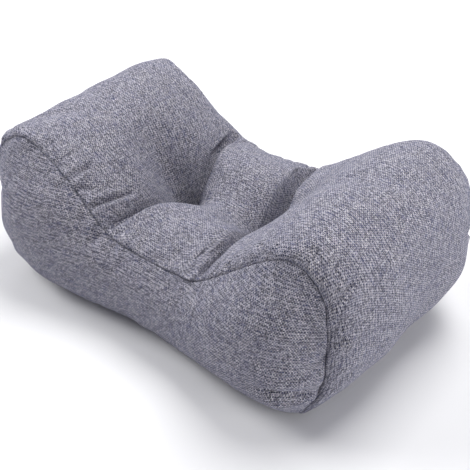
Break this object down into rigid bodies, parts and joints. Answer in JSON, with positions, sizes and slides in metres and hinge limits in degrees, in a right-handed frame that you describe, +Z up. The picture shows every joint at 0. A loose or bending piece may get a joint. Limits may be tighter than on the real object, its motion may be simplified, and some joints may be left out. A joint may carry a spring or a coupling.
{
  "type": "lumbar cushion",
  "caption": "Filled lumbar cushion with a raised lobe at each end, a low waist pad between sewn channels, and bulging side panels.",
  "frame": {"origin": "on the surface the cushion lies on, under the middle of its base", "axes": "+X along the cushion's length through both lobes, +Y across it towards the back side panel, +Z up"},
  "size_m": [0.4129, 0.2824, 0.1773],
  "materials": {
    "cover_cloth": "matt blue and pale beige mixed-yarn linen weave"
  },
  "bodies": {
    "root": {"filled_body": "cover_cloth", "side_panel_front": "cover_cloth", "side_panel_back": "cover_cloth"}
  },
  "joints": []
}
